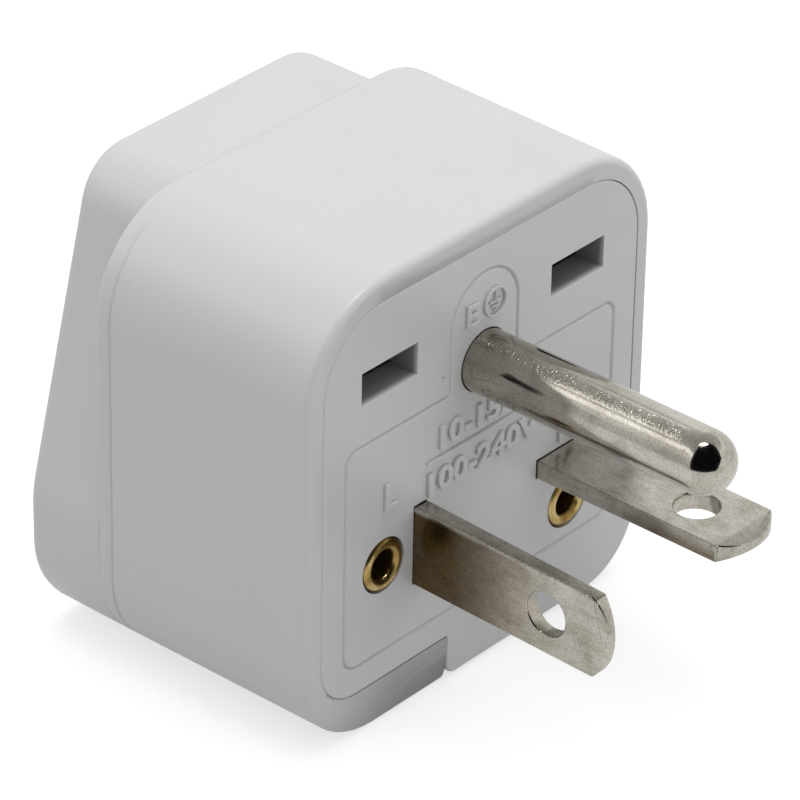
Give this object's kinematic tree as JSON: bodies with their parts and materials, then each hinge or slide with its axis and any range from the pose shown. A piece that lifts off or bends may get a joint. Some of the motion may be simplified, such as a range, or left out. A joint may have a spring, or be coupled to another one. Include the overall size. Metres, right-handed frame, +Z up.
{
  "type": "universal plug adapter",
  "caption": "Moulded mains adapter: flat blades and a round earth pin on the front plate, a universal socket with folded contact clips behind.",
  "frame": {"origin": "middle of the bounding box at the flat bottom face that it rests on", "axes": "+Z up as it rests, pins towards -Y, socket face towards +Y, upright blade at -X"},
  "size_m": [0.0372, 0.0484, 0.0366],
  "materials": {
    "white_plastic": "white moulding, satin gloss, finely grained on the plate",
    "nickel": "nickel plate over stamped brass, warm grey with fine mottling",
    "brass": "bare folded brass sheet",
    "spring_steel": "plain spring steel"
  },
  "bodies": {
    "root": {"housing_shell": "white_plastic", "pin_plate": "white_plastic", "line_blade": "nickel", "neutral_blade": "nickel", "earth_pin": "nickel", "earth_washer": "spring_steel", "line_eyelet": "brass", "neutral_eyelet": "brass", "line_contact": "brass", "neutral_contact": "brass", "earth_contact": "brass", "line_flat_clip": "brass", "neutral_flat_clip": "brass", "line_clip_rivet": "brass", "neutral_clip_rivet": "brass", "line_spring": "spring_steel", "neutral_spring": "spring_steel"}
  },
  "joints": []
}
